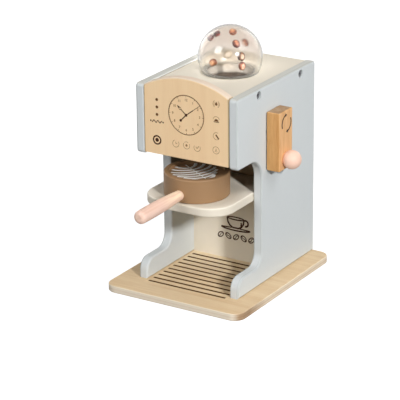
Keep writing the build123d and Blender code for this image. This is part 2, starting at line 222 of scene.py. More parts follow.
# ---------------------------------------------------------------- small modelling helpers
def clear_selection():
    """Leave nothing selected, so that an operator finds only what is picked next."""
    if bpy.context.mode != "OBJECT":
        bpy.ops.object.mode_set(mode="OBJECT")
    bpy.ops.object.select_all(action="DESELECT")


def pick(piece):
    """Make one object the selected and active one."""
    clear_selection()
    piece.select_set(True)
    bpy.context.view_layer.objects.active = piece
    return piece


def join(pieces, name):
    """Join pieces into one named object."""
    joined = pick(pieces[0])
    for piece in pieces[1:]:
        piece.select_set(True)
    if len(pieces) > 1:
        bpy.ops.object.join()
    joined.name = name
    joined.data.name = name
    return joined


def settle(piece):
    """Write an object's place, turn and scale into its mesh."""
    pick(piece)
    bpy.ops.object.transform_apply(location=True, rotation=True, scale=True)
    return piece


def surface_matrix(origin, across, up):
    """Where a shape lies: its x runs across, its y up, and it faces out of the surface."""
    across = Vector(across).normalized()
    up = Vector(up).normalized()
    turn = Matrix((across, up, across.cross(up))).transposed().to_4x4()
    return Matrix.Translation(origin) @ turn


# ---------------------------------------------------------------- ink, drawn flat in millimetres
# depths before a drawing is pressed to the ink's thickness
WEDGE_DEPTH = 0.3
NUMBER_DEPTH = 0.2
NUMBER_BOLDNESS = 0.09


def ink_line(points, width, closed=False):
    """A line of ink through points; it has round sides and flat ends."""
    curve = bpy.data.curves.new("ink_line", "CURVE")
    curve.dimensions = "3D"
    line = curve.splines.new("POLY")
    line.points.add(len(points) - 1)
    for point, (x, y) in zip(line.points, points):
        point.co = (x * MM, y * MM, 0, 1)
    line.use_cyclic_u = closed
    curve.bevel_depth = width * MM / 2
    curve.bevel_resolution = 1
    curve.use_fill_caps = True
    drawn = bpy.data.objects.new("ink_line", curve)
    bpy.context.collection.objects.link(drawn)
    pick(drawn)
    bpy.ops.object.convert(target="MESH")
    return bpy.context.object


def arc_points(radius, start, end, centre=(0, 0), count=24):
    """Points on an arc; angles in degrees, anticlockwise from the right."""
    angles = [radians(start + (end - start) * i / count) for i in range(count + 1)]
    return [(centre[0] + radius * cos(a), centre[1] + radius * sin(a)) for a in angles]


def ink_arc(radius, width, start, end, centre=(0, 0)):
    """A line of ink along an arc."""
    return ink_line(arc_points(radius, start, end, centre), width)


def ink_ring(radius, width, centre=(0, 0)):
    """A closed round line of ink."""
    ring = arc_points(radius, 0, 360, centre, count=48)[:-1]
    return ink_line(ring, width, closed=True)


def thicken(flat, depth):
    """Give a flat face some depth, with all faces outwards."""
    bpy.ops.object.mode_set(mode="EDIT")
    bpy.ops.mesh.extrude_region_move(TRANSFORM_OT_translate={"value": (0, 0, depth * MM)})
    bpy.ops.mesh.select_all(action="SELECT")
    bpy.ops.mesh.normals_make_consistent(inside=False)
    bpy.ops.object.mode_set(mode="OBJECT")
    return flat


def ink_dot(radius, centre=(0, 0)):
    """A filled disc of ink."""
    clear_selection()
    bpy.ops.mesh.primitive_circle_add(vertices=20, radius=radius * MM, fill_type="NGON",
                                      location=(centre[0] * MM, centre[1] * MM, 0))
    return settle(thicken(bpy.context.object, radius / 4))


def ink_wedge(points):
    """A filled corner shape of ink, such as an arrow head."""
    clear_selection()
    bpy.ops.mesh.primitive_circle_add(vertices=len(points), radius=MM, fill_type="NGON")
    wedge = bpy.context.object
    for vertex, (x, y) in zip(wedge.data.vertices, points):
        vertex.co = (x * MM, y * MM, 0)
    return thicken(wedge, WEDGE_DEPTH)


def ink_number(number, height, centre):
    """A plain number, centred on a point."""
    clear_selection()
    bpy.ops.object.text_add(location=(centre[0] * MM, centre[1] * MM, 0))
    text = bpy.context.object
    text.data.body = str(number)
    text.data.size = height * MM
    text.data.align_x = "CENTER"
    text.data.align_y = "CENTER"
    text.data.extrude = NUMBER_DEPTH * MM
    text.data.offset = NUMBER_BOLDNESS * MM
    bpy.ops.object.convert(target="MESH")
    return settle(bpy.context.object)


def lay_ink(drawn, name, place, material, body):
    """Join flat drawings, press them to ink thickness and lay them on a surface."""
    piece = join(drawn, name)
    heights = [vertex.co.z for vertex in piece.data.vertices]
    press = settings().prints.ink_thickness / (max(heights) - min(heights))
    piece.data.transform(Matrix.Diagonal((1, 1, press, 1)))
    piece.data.transform(place)
    piece.data.materials.clear()
    piece.data.materials.append(material)
    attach(piece, body)


# ---------------------------------------------------------------- shader helpers
NODES_IN_ROW = 8
NODE_GAP = Vector((200, -300))
# a Mix node's sockets when it mixes colours; their names stand for other kinds too
MIX_SHARE, MIX_FIRST, MIX_SECOND, MIX_RESULT = 0, 6, 7, 2
# most of a noise texture's values lie between these two
NOISE_LOW, NOISE_HIGH = 0.3, 0.7
FLOAT, COLOUR, VECTOR = "NodeSocketFloat", "NodeSocketColor", "NodeSocketVector"


def feed(tree, source, socket):
    """Lead an output, a number, a vector or a colour into an input."""
    if hasattr(source, "is_output"):
        tree.links.new(source, socket)
    elif socket.type == "RGBA":
        socket.default_value = (*source, 1)
    else:
        socket.default_value = source


def add(tree, kind, **values):
    """Add a node; values set its properties, or feed its inputs where they name one."""
    node = tree.nodes.new(kind)
    row, column = divmod(len(tree.nodes), NODES_IN_ROW)
    node.location = (NODE_GAP.x * column, NODE_GAP.y * row)
    for key, value in values.items():
        if hasattr(node, key):
            setattr(node, key, value)
        else:
            feed(tree, value, node.inputs[key.replace("_", " ")])
    return node


def calculate(tree, operation, *sources):
    """One step of arithmetic on outputs or numbers."""
    node = add(tree, "ShaderNodeMath", operation=operation)
    for source, socket in zip(sources, node.inputs):
        feed(tree, source, socket)
    return node.outputs[0]


def overlap(tree, *shares):
    """Where all the shares hold: their product."""
    whole = shares[0]
    for share in shares[1:]:
        whole = calculate(tree, "MULTIPLY", whole, share)
    return whole


def mix_colour(tree, share, first, second, blend="MIX"):
    """The first colour turning into the second one by a share."""
    node = add(tree, "ShaderNodeMix", data_type="RGBA", blend_type=blend)
    feed(tree, share, node.inputs[MIX_SHARE])
    feed(tree, first, node.inputs[MIX_FIRST])
    feed(tree, second, node.inputs[MIX_SECOND])
    return node.outputs[MIX_RESULT]


def stretch(tree, value, low, high, to_low=0.0, to_high=1.0):
    """Map a value from one range to another, and hold it at the ends."""
    return add(tree, "ShaderNodeMapRange", Value=value, From_Min=low, From_Max=high,
               To_Min=to_low, To_Max=to_high).outputs["Result"]


def inside_band(tree, value, low, high, soft):
    """1 where a value lies between low and high, with soft ends."""
    return overlap(tree, stretch(tree, value, low - soft, low + soft),
                   stretch(tree, value, high - soft, high + soft, 1, 0))


def noise(tree, vector, scale, detail, distortion=0.0):
    """A cloudy pattern; a larger scale makes smaller clouds."""
    return add(tree, "ShaderNodeTexNoise", Vector=vector, Scale=scale, Detail=detail,
               Distortion=distortion).outputs["Fac"]


def vary(tree, pattern, low, high):
    """Map a noise onto a range."""
    return stretch(tree, pattern, NOISE_LOW, NOISE_HIGH, low, high)


def on_piece(tree):
    """A point of the piece, as a vector."""
    return add(tree, "ShaderNodeTexCoord").outputs["Object"]


def position(tree):
    """X, Y and Z of a point of the piece."""
    return add(tree, "ShaderNodeSeparateXYZ", Vector=on_piece(tree)).outputs


def facing(tree):
    """X, Y and Z of the way that the surface looks."""
    normal = add(tree, "ShaderNodeTexCoord").outputs["Normal"]
    return add(tree, "ShaderNodeSeparateXYZ", Vector=normal).outputs


def upward_share(tree):
    """1 on faces that look up."""
    return stretch(tree, facing(tree)["Z"], 0.5, 0.9)


def above_shelf(tree):
    """1 above the cup shelf, in the brewing bay."""
    return stretch(tree, position(tree)["Z"], shelf_top, shelf_top + 1 * MM)


def off_middle(tree):
    """How far a point lies to either side of the toy's middle."""
    return calculate(tree, "ABSOLUTE", position(tree)["X"])


def off_axis(tree, centre):
    """How far a point lies from an upright axis."""
    level = add(tree, "ShaderNodeMapping", Vector=on_piece(tree), Scale=(1, 1, 0),
                Location=(-centre.x, -centre.y, 0)).outputs["Vector"]
    reach = add(tree, "ShaderNodeVectorMath", operation="LENGTH")
    feed(tree, level, reach.inputs[0])
    return reach.outputs["Value"]


# ---------------------------------------------------------------- shader groups
def new_group(name, inputs, outputs):
    """An empty shader group with named sockets."""
    group = bpy.data.node_groups.new(name, "ShaderNodeTree")
    for label, kind, default in inputs:
        socket = group.interface.new_socket(name=label, in_out="INPUT", socket_type=kind)
        if default is not None:
            socket.default_value = default
    for label, kind in outputs:
        group.interface.new_socket(name=label, in_out="OUTPUT", socket_type=kind)
    return group, add(group, "NodeGroupInput").outputs, add(group, "NodeGroupOutput").inputs


def paint_group():
    """Sprayed satin paint: cloudy tone, fine peel, and a little gloss change."""
    gloss_change = 0.05
    group, given, made = new_group(
        "Satin Paint",
        [("Vector", VECTOR, None), ("Paint", COLOUR, (0.8, 0.8, 0.8, 1)),
         ("Cloud", FLOAT, 0.03), ("Gloss", FLOAT, 0.45)],
        [("Color", COLOUR), ("Roughness", FLOAT), ("Height", FLOAT)])
    cloud = noise(group, given["Vector"], 22.0, 3.0)
    fibre = noise(group, given["Vector"], 160.0, 4.0)
    peel = noise(group, given["Vector"], 900.0, 2.0)
    tone = calculate(group, "SUBTRACT", calculate(group, "ADD", cloud, fibre), 1.0)
    value = calculate(group, "MULTIPLY_ADD", tone, given["Cloud"], 1.0)
    shade = add(group, "ShaderNodeHueSaturation", Color=given["Paint"], Value=value)
    rough = calculate(group, "ADD", given["Gloss"],
                      vary(group, fibre, -gloss_change, gloss_change))
    feed(group, shade.outputs["Color"], made["Color"])
    feed(group, rough, made["Roughness"])
    feed(group, peel, made["Height"])
    return group


def grain_group():
    """Planed wood: broad bands, fine fibres and short pores along the vector's Z."""
    drawn_out = (1, 1, 0.06)
    fibre_share = 0.25
    group, given, made = new_group(
        "Wood Grain",
        [("Vector", VECTOR, None), ("Light", COLOUR, (0.8, 0.6, 0.4, 1)),
         ("Dark", COLOUR, (0.6, 0.4, 0.2, 1)), ("Pores", FLOAT, 0.3), ("Gloss", FLOAT, 0.5),
         ("Fineness", FLOAT, 1.0)],
        [("Color", COLOUR), ("Roughness", FLOAT), ("Height", FLOAT)])
    finer = add(group, "ShaderNodeVectorMath", operation="SCALE", Scale=given["Fineness"])
    feed(group, given["Vector"], finer.inputs[0])
    along = add(group, "ShaderNodeMapping", Vector=finer.outputs[0],
                Scale=drawn_out).outputs["Vector"]
    bands = noise(group, along, 90.0, 3.0, distortion=0.6)
    fibres = noise(group, along, 700.0, 3.0)
    pores = noise(group, along, 1500.0, 1.0)
    grain = calculate(group, "ADD", stretch(group, bands, 0.32, 0.68),
                      vary(group, fibres, -fibre_share, fibre_share))
    colour = mix_colour(group, grain, given["Light"], given["Dark"])
    pore_depth = overlap(group, stretch(group, pores, 0.62, 0.72), given["Pores"])
    colour = mix_colour(group, pore_depth, colour, given["Dark"], "MULTIPLY")
    feed(group, colour, made["Color"])
    feed(group, calculate(group, "ADD", given["Gloss"], pore_depth), made["Roughness"])
    feed(group, calculate(group, "SUBTRACT", fibres, pore_depth), made["Height"])
    return group


def shared_group(name, maker):
    """The group if it is there, else a new one."""
    return bpy.data.node_groups.get(name) or maker()


# ---------------------------------------------------------------- steps that materials share
GRAIN_ALONG_Z = (0, 0, 0)
GRAIN_ALONG_X = (0, radians(90), 0)


def bare_material(name):
    """A new material with its tree and shader."""
    material = bpy.data.materials.new(name)
    material.use_nodes = True
    tree = material.node_tree
    return material, tree, tree.nodes["Principled BSDF"]


def lay_over(material, share, colour, blend="MIX"):
    """Lay a colour over what a material has so far, by a share."""
    tree = material.node_tree
    base = tree.nodes["Principled BSDF"].inputs["Base Color"]
    feed(tree, mix_colour(tree, share, base.links[0].from_socket, colour, blend), base)


def emboss(tree, shader, height, distance, strength=0.35):
    """Lead a height through a bump into the shader."""
    bump = add(tree, "ShaderNodeBump", Height=height, Distance=distance, Strength=strength)
    feed(tree, bump.outputs["Normal"], shader.inputs["Normal"])


def finish_surface(tree, shader, effect, bump_distance):
    """Lead a group's colour, roughness and height into the shader."""
    feed(tree, effect.outputs["Color"], shader.inputs["Base Color"])
    feed(tree, effect.outputs["Roughness"], shader.inputs["Roughness"])
    emboss(tree, shader, effect.outputs["Height"], bump_distance)


def tint_faces(material, tints):
    """Tint the faces that look along X, Y or Z, partly as sawn wood differs from face to face and
    partly as painted light and shade on each face.
    """
    tree = material.node_tree
    for axis, tint in tints.items():
        share = stretch(tree, calculate(tree, "ABSOLUTE", facing(tree)[axis]), 0.8, 0.95)
        lay_over(material, share, tint, "MULTIPLY")


# ---------------------------------------------------------------- paints
def paint_material(name, colour, cloud=0.03, gloss=0.45, shine=0.35):
    """Satin paint on wood."""
    material, tree, shader = bare_material(name)
    effect = add(tree, "ShaderNodeGroup", node_tree=shared_group("Satin Paint", paint_group),
                 Vector=on_piece(tree), Paint=colour, Cloud=cloud, Gloss=gloss)
    finish_surface(tree, shader, effect, bump_distance=0.04 * MM)
    shader.inputs["Specular IOR Level"].default_value = shine
    return material


def cream_paint(name):
    """The paint of the top, the shelf and the back."""
    return paint_material(name, settings().paint.cream, gloss=0.6, shine=0.3)


def handle_material():
    """Thin pink paint that lets the turned handle's long grain show, paler near the cup, partly
    worn and partly painted light against the shade there.
    """
    drawn_out = (1, 0.04, 1)
    paler_from, paler_through = handle_low.y + 35 * MM, handle_high.y - 12 * MM
    paint = settings().paint
    material = paint_material("pink_paint", paint.rose, cloud=0.02, gloss=0.5)
    tree = material.node_tree
    along = add(tree, "ShaderNodeMapping", Vector=on_piece(tree),
                Scale=drawn_out).outputs["Vector"]
    broad = stretch(tree, noise(tree, along, 60.0, 1.0), 0.4, 0.6, 0, 0.5)
    near_cup = stretch(tree, position(tree)["Y"], paler_from, paler_through)
    # paler near the cup: partly worn paint, partly painted light against the shade there
    lay_over(material, calculate(tree, "MAXIMUM", near_cup, broad), paint.rose_worn)
    streaks = stretch(tree, noise(tree, along, 420.0, 3.0), 0.42, 0.62, 0, 0.75)
    lay_over(material, streaks, paint.rose_streak)
    return material


def top_board_material():
    """Cream paint with painted shade where the dome is let in: a contact shadow ring and a darker
    board under the lip, both in front, and a darker mouth wall.
    """
    painted_foot_shadow, painted_lip_shade, painted_mouth_shade = (0.62, 0.58, 0.52), (0.60, 0.55, 0.48), (0.42, 0.385, 0.34)
    foot_shadow_inner, foot_shadow_outer = dome_foot - 0.4 * MM, dome_foot + 1.8 * MM
    material = cream_paint("cream_top_paint")
    tree = material.node_tree
    reach = off_axis(tree, dome_centre)
    front = stretch(tree, position(tree)["Y"], dome_centre.y - 18 * MM, dome_centre.y, 1, 0.2)
    ring = inside_band(tree, reach, foot_shadow_inner, foot_shadow_outer, soft=1.0 * MM)
    # painted contact shadow: a darker ring at the dome's foot, strongest in front
    lay_over(material, overlap(tree, ring, front), painted_foot_shadow, "MULTIPLY")
    inside = stretch(tree, reach, dome_foot - 0.6 * MM, dome_foot - 0.3 * MM, 1, 0)
    # painted shade: the board under the dome's lip made darker, in front
    lay_over(material, overlap(tree, inside, front), painted_lip_shade)
    sunk = stretch(tree, position(tree)["Z"], board_top - 0.3 * MM, board_top - 0.1 * MM, 1, 0)
    # painted shade: the mouth's wall darker than the board's paint
    lay_over(material, overlap(tree, inside, sunk), painted_mouth_shade)
    return material


def shelf_material():
    """Cream paint, with painted light that makes its top lighter away from the cup."""
    painted_shelf_light = (0.99, 0.92, 0.79)
    material = cream_paint("cream_shelf_paint")
    tree = material.node_tree
    far = stretch(tree, off_axis(tree, cup_middle), cup_radius + 6 * MM, cup_radius + 16 * MM)
    # painted light: upward faces away from the cup made lighter
    lay_over(material, overlap(tree, far, upward_share(tree)), painted_shelf_light)
    return material


def bay_back_material():
    """Cream paint, darker above the shelf with painted shade for the brewing bay."""
    painted_bay_shade = (0.85, 0.74, 0.6)
    material = cream_paint("cream_bay_paint")
    # painted shade: the back panel darker above the shelf, inside the brewing bay
    lay_over(material, above_shelf(material.node_tree), painted_bay_shade, "MULTIPLY")
    return material


def panel_material():
    """Blue-grey paint with painted shade: browner and darker on the inner faces in the brewing
    bay, darker on the rounded outer edges, and darker, warmer tops.
    """
    painted_bay_shade, painted_edge_shade, painted_top_shade = (0.5, 0.4, 0.3), (0.82, 0.82, 0.81), (0.93, 0.875, 0.80)
    material = paint_material("blue_grey_paint", settings().paint.blue_grey, cloud=0.035,
                              gloss=0.62, shine=0.12)
    tree = material.node_tree
    inner_face = stretch(tree, off_middle(tree), panel_low.x + 0.2 * MM,
                         panel_low.x + 0.4 * MM, 1, 0)
    # painted shade on the inner faces above the shelf, inside the brewing bay
    lay_over(material, overlap(tree, above_shelf(tree), inner_face), painted_bay_shade, "MULTIPLY")
    # outward is largest on the outer face and 0 on a cut edge; folded at its middle, it
    # stays above 0 only on the rounding between them
    outward = calculate(tree, "MULTIPLY", facing(tree)["X"], position(tree)["X"])
    lean = calculate(tree, "PINGPONG", stretch(tree, outward, 0, panel_high.x), 0.5)
    # painted shade that takes the highlight off the rounded outer edges
    lay_over(material, stretch(tree, lean, 0, 0.14), painted_edge_shade, "MULTIPLY")
    top = stretch(tree, position(tree)["Z"], panel_high.z - 3 * MM, panel_high.z - 1 * MM)
    # painted shade: the tops darker and warmer
    lay_over(material, overlap(tree, upward_share(tree), top), painted_top_shade, "MULTIPLY")
    return material


# ---------------------------------------------------------------- woods
def wood_material(name, light, dark, along, pores=0.3, gloss=0.5, fineness=1.0):
    """Lacquered wood with its grain along one axis; along turns that axis onto Z."""
    material, tree, shader = bare_material(name)
    turned = add(tree, "ShaderNodeMapping", Vector=on_piece(tree), Rotation=along)
    effect = add(tree, "ShaderNodeGroup", node_tree=shared_group("Wood Grain", grain_group),
                 Vector=turned.outputs["Vector"], Light=light, Dark=dark, Pores=pores,
                 Gloss=gloss, Fineness=fineness)
    finish_surface(tree, shader, effect, bump_distance=0.05 * MM)
    shader.inputs["Specular IOR Level"].default_value = 0.12
    return material


def fascia_material():
    """Pale wood with a painted shadow line where it meets the panels, and paler upward faces
    along the arch, partly sanded end grain and partly a painted highlight.
    """
    end_grain_and_shade = (0.85, 0.93, 1.08)
    line_from, line_to = fascia_high.x - 1.0 * MM, fascia_high.x - 0.5 * MM
    wood = settings().wood
    material = wood_material("natural_maple", wood.fascia_light, wood.fascia_dark,
                             GRAIN_ALONG_Z, pores=0.08, gloss=0.55)
    # upward faces tinted: partly end grain, partly painted shade of the top-lit arch
    tint_faces(material, {"Z": end_grain_and_shade})
    tree = material.node_tree
    # painted shadow line along the joints with the panels
    at_panel = stretch(tree, off_middle(tree), line_from, line_to, 0, 0.75)
    lay_over(material, at_panel, wood.joint)
    # rounded arch edge paler: partly sanded wood, partly a painted highlight
    lay_over(material, stretch(tree, facing(tree)["Z"], 0.25, 0.6), wood.sanded)
    return material


def crank_material():
    """Beech with painted light on the broad face, painted shade on the narrow sides, and darker
    sawn ends, partly end grain and partly painted shade.
    """
    broad_face_light, side, sawn_end_and_shade = (1.1, 1.14, 1.27), (0.93, 0.88, 0.77), (0.62, 0.70, 0.92)
    wood = settings().wood
    material = wood_material("beech_wood", wood.beech_light, wood.beech_dark, GRAIN_ALONG_Z,
                             gloss=0.55)
    # painted light on the broad face, painted shade on the sides and ends
    tint_faces(material, {"X": broad_face_light, "Y": side, "Z": sawn_end_and_shade})
    return material


def plywood_material():
    """Birch plywood: grain across the top, thin layers on the edge, burnt drip lines."""
    wood = settings().wood
    material = wood_material("birch_plywood", wood.ply_light, wood.ply_dark, GRAIN_ALONG_X,
                             pores=0.15, fineness=1.8)
    show_layers(material)
    tone_top(material)
    tone_edges(material)
    burn_drip_lines(material)
    return material


def show_layers(material):
    """Every other layer of the plywood darker, on its edge only."""
    layer_count = 5
    thickness = base_high.z - base_low.z
    tree = material.node_tree
    height = position(tree)["Z"]
    wave = calculate(tree, "SINE", calculate(tree, "MULTIPLY", height,
                                             layer_count * pi / thickness))
    below_top = stretch(tree, height, base_high.z - 1.3 * MM, base_high.z - 1.1 * MM, 1, 0)
    crossed = overlap(tree, stretch(tree, wave, -0.25, 0.25, 0, 0.75), below_top)
    lay_over(material, crossed, settings().wood.ply_dark, "MULTIPLY")


def tone_top(material):
    """Painted light: lighter, yellower wood deep in the bay; painted shade: greyer, darker top
    outside the panels and along the front.
    """
    painted_bay_light, painted_open_shade = (0.93, 0.80, 0.58), (0.93, 0.915, 0.905)
    tree = material.node_tree
    depth = position(tree)["Y"]
    outside = stretch(tree, off_middle(tree), panel_low.x - 1 * MM, panel_low.x)
    between = calculate(tree, "SUBTRACT", 1.0, outside)
    deep = stretch(tree, depth, back_face - 60 * MM, back_face - 15 * MM, 0, 0.6)
    # painted light deep in the bay between the panels
    lay_over(material, overlap(tree, between, deep), painted_bay_light)
    ahead = stretch(tree, depth, base_low.y + 24 * MM, base_low.y + 30 * MM, 1, 0)
    margin = calculate(tree, "MAXIMUM", outside, ahead)
    # painted shade on the top outside the panels and along the front edge
    lay_over(material, overlap(tree, upward_share(tree), margin), painted_open_shade, "MULTIPLY")


def tone_edges(material):
    """Pale edges at the front and on the crank's side, where a painted shadow makes the front end
    browner.
    """
    pale_edge, painted_corner_shadow = (0.88, 0.82, 0.71), (0.52, 0.42, 0.34)
    tree = material.node_tree
    look = facing(tree)
    front_edge = stretch(tree, look["Y"], -0.85, -0.45, 0.66, 0)
    crank_side = stretch(tree, look["X"], 0.3, 0.8)
    pale = calculate(tree, "MAXIMUM", front_edge, overlap(tree, crank_side, 0.45))
    lay_over(material, pale, pale_edge)
    near_front = stretch(tree, position(tree)["Y"], base_low.y + 20 * MM,
                         base_low.y + 55 * MM, 1, 0)
    # painted shadow on the crank-side edge near the front corner
    lay_over(material, overlap(tree, near_front, crank_side), painted_corner_shadow, "MULTIPLY")


def burn_drip_lines(material):
    """Burn the drip lines, which are all that lies just under the top between the panels."""
    line_count = 10
    pitch = 9.7 * MM
    first = base_low.y + 32 * MM
    last = first + (line_count - 1) * pitch
    bottom, brim = base_high.z - 1.2 * MM, base_high.z - 0.04 * MM
    tree = material.node_tree
    point = position(tree)
    within = stretch(tree, off_middle(tree), fascia_high.x - 3.4 * MM,
                     fascia_high.x - 3.1 * MM, 1, 0)
    sunk = inside_band(tree, point["Z"], bottom, brim, soft=0.02 * MM)
    behind_edge = stretch(tree, point["Y"], base_low.y + 10 * MM, base_low.y + 12 * MM)
    burnt = overlap(tree, sunk, within, behind_edge)
    away = calculate(tree, "PINGPONG", calculate(tree, "SUBTRACT", point["Y"], first),
                     pitch / 2)
    scorch = stretch(tree, away, 1.35 * MM, 1.8 * MM, 0.75, 0)
    rows = inside_band(tree, point["Y"], first - 2 * MM, last + 2 * MM, soft=0.2 * MM)
    scorched = overlap(tree, scorch, rows, within)
    lay_over(material, calculate(tree, "MAXIMUM", burnt, scorched), settings().wood.groove)


# ---------------------------------------------------------------- ink, plastic, metal and beans
def ink_material(name, colour):
    """Flat screen-print ink, slightly worn."""
    fading, most_worn = 1.35, 0.18
    material, tree, shader = bare_material(name)
    speck = noise(tree, on_piece(tree), 1200.0, 2.0)
    worn = tuple(min(1.0, channel * fading + 0.02) for channel in colour)
    tone = mix_colour(tree, stretch(tree, speck, 0.35, 0.75, 0, most_worn), colour, worn)
    feed(tree, tone, shader.inputs["Base Color"])
    feed(tree, vary(tree, speck, 0.49, 0.61), shader.inputs["Roughness"])
    shader.inputs["Specular IOR Level"].default_value = 0.2
    return material


def clear_plastic_material():
    """Clear blown plastic: a soft haze; a warm top, partly a tint and partly a painted stand-in
    for a warm backdrop seen through it; a grey rim of painted shade at grazing angles; and a dark
    foot of painted shade in front.
    """
    clear, warm_top_and_backdrop = (1.0, 0.985, 0.96), (0.855, 0.785, 0.72)
    painted_rim_shade, painted_dome_foot_shade = (0.80, 0.83, 0.81), (0.22, 0.23, 0.22)
    material, tree, shader = bare_material("clear_plastic")
    haze = noise(tree, on_piece(tree), 35.0, 2.0)
    feed(tree, vary(tree, haze, 0.09, 0.13), shader.inputs["Roughness"])
    emboss(tree, shader, haze, distance=0.4 * MM, strength=0.04)
    point = position(tree)
    high = stretch(tree, point["Z"], board_top + 10 * MM, board_top + 25 * MM)
    # the warm top: partly a tint of the plastic, partly a painted stand-in for a warm backdrop
    # seen through it
    body = mix_colour(tree, high, clear, warm_top_and_backdrop)
    grazing = add(tree, "ShaderNodeLayerWeight", Blend=0.5).outputs["Facing"]
    # painted shade: a grey rim where the surface is seen at grazing angles
    rimmed = mix_colour(tree, stretch(tree, grazing, 0.55, 0.95), body, painted_rim_shade)
    low = stretch(tree, point["Z"], board_top + 0.4 * MM, board_top + 3.2 * MM, 1, 0)
    above_board = stretch(tree, point["Z"], board_top - 0.3 * MM, board_top)
    front = stretch(tree, point["Y"], dome_centre.y - 4 * MM, dome_centre.y + 10 * MM, 1, 0.15)
    # painted shade: a dark foot in front, where the dome meets the board
    footed = mix_colour(tree, overlap(tree, low, above_board, front), rimmed, painted_dome_foot_shade)
    feed(tree, footed, shader.inputs["Base Color"])
    shader.inputs["Transmission Weight"].default_value = 1.0
    shader.inputs["IOR"].default_value = 1.46
    return material


def metal_material(name, colour, metallic, roughness):
    """Plain metal with fine scratches in its tone and gloss."""
    scratch_tone, gloss_change = 0.7, 0.08
    material, tree, shader = bare_material(name)
    scratch = noise(tree, on_piece(tree), 800.0, 3.0)
    darker = tuple(channel * scratch_tone for channel in colour)
    feed(tree, mix_colour(tree, scratch, colour, darker), shader.inputs["Base Color"])
    feed(tree, vary(tree, scratch, roughness - gloss_change, roughness + gloss_change),
         shader.inputs["Roughness"])
    shader.inputs["Metallic"].default_value = metallic
    return material


def bean_material(name, rim, body, pale):
    """Roasted bean: dark crease, a pale band each side of it that is partly a painted highlight,
    the body, and a darker rim that is partly painted shade.
    """
    material, tree, shader = bare_material(name)
    crease_map = add(tree, "ShaderNodeUVMap", uv_map="crease").outputs["UV"]
    cloud = noise(tree, crease_map, 5.0, 3.0)
    from_crease = add(tree, "ShaderNodeSeparateXYZ", Vector=crease_map).outputs["X"]
    reach = calculate(tree, "ADD", from_crease, vary(tree, cloud, -0.08, 0.08))
    # the pale band is partly a painted highlight, and the darker rim partly painted shade
    banded = mix_colour(tree, stretch(tree, reach, 0.26, 0.5), pale, body)
    rimmed = mix_colour(tree, stretch(tree, reach, 0.55, 0.8), banded, rim)
    creased = mix_colour(tree, stretch(tree, reach, 0.05, 0.12, 1, 0), rimmed, rim)
    feed(tree, creased, shader.inputs["Base Color"])
    feed(tree, vary(tree, cloud, 0.25, 0.4), shader.inputs["Roughness"])
    shader.inputs["Coat Weight"].default_value = 0.3
    return material


def dress(node_names, material):
    """Give CAD nodes a finished material."""
    for name in node_names:
        mesh = nodes[name].data
        mesh.materials.clear()
        mesh.materials.append(material)


# ---------------------------------------------------------------- prints on the front
# the middle of the dial, across and above the front's lower edge, in millimetres
DIAL_X, DIAL_HEIGHT = 0.3, 47.6


def front_place(x, y, z):
    """A place on a face that looks to the front; x and z in millimetres from the origin."""
    return surface_matrix((x * MM, y, z * MM), (1, 0, 0), (0, 0, 1))


def on_dial(radius, angle):
    """A point of the dial; the angle turns clockwise from the top."""
    return (radius * sin(angle), radius * cos(angle))


def draw_dial():
    """Ring and minute ticks of the clock."""
    long_tick, long_width = 2.1, 0.5
    short_tick, short_width = 1.2, 0.2
    prints = settings().prints
    radius = prints.dial_radius / MM
    drawn = [ink_ring(radius, prints.dial_line / MM)]
    for minute in range(60):
        length, width = ((long_tick, long_width) if minute % 5 == 0
                         else (short_tick, short_width))
        angle = tau * minute / 60
        drawn.append(ink_line([on_dial(radius - length, angle), on_dial(radius, angle)], width))
    return drawn


def draw_numbers():
    """Plain numbers inside the ticks."""
    inset = 4.9
    prints = settings().prints
    count = prints.dial_numbers
    return [ink_number(hour, prints.number_height / MM,
                       on_dial(prints.dial_radius / MM - inset, tau * hour / count))
            for hour in range(1, count + 1)]


def draw_hands():
    """Hour hand with an eye near its tip, minute hand with a round tail."""
    hour_tip = Vector((-11.0, 9.3))
    minute_tip = Vector((16.3, 12.3))
    tail = Vector((-6.5, -6.5))
    eye, eye_radius = hour_tip * 0.66, 1.15
    head_length, head_half_width = 3.4, 1.25
    way = hour_tip.normalized()
    side = Vector((-way.y, way.x)) * head_half_width
    head = hour_tip - way * head_length
    return [ink_line([(0, 0), eye - way * eye_radius], 1.1),
            ink_ring(eye_radius, 0.65, eye),
            ink_wedge([hour_tip, head + side, eye + way * eye_radius, head - side]),
            ink_line([tail, (0, 0)], 1.15),
            ink_line([(0, 0), minute_tip * 0.5], 1.0),
            ink_line([minute_tip * 0.5, minute_tip], 0.55),
            ink_dot(1.5, tail),
            ink_dot(1.6)]


def draw_level_dots():
    """Three dots above each other."""
    pitch = 8.0
    return [ink_dot(1.6, (0, row * pitch)) for row in (1, 0, -1)]


def draw_ripple():
    """A short wavy ornament between two dots."""
    half_length, height, wave_length, steps = 6.0, 1.15, 4.8, 48
    way = [half_length * (2 * i / steps - 1) for i in range(steps + 1)]
    dot_x = half_length + 1.5
    return [ink_line([(x, height * sin(tau * x / wave_length)) for x in way], 0.95),
            ink_dot(0.9, (-dot_x, 0)), ink_dot(0.9, (dot_x, 0))]


def draw_power_button():
    """A bold ring round a dot."""
    return [ink_ring(4.4, 1.7), ink_dot(2.2)]


def draw_drop():
    """A drop of water."""
    half = [(1.5, 0.3), (1.2, -1.1)]
    mirrored = [(-x, y) for x, y in reversed(half)]
    return [ink_wedge([(0, 2.5), *half, (0, -1.7), *mirrored])]


def draw_lid():
    """A low dome over a plate."""
    return [ink_wedge(arc_points(2.5, 180, 0, (0, -1.3), count=10)),
            ink_line([(-3.2, -2.0), (3.2, -2.0)], 0.8)]


def button_ring(*arcs):
    """The broken ring of a small button; each arc is a start and an end angle."""
    line_width = 0.5
    radius = settings().prints.button_radius / MM
    return [ink_arc(radius, line_width, start, end) for start, end in arcs]


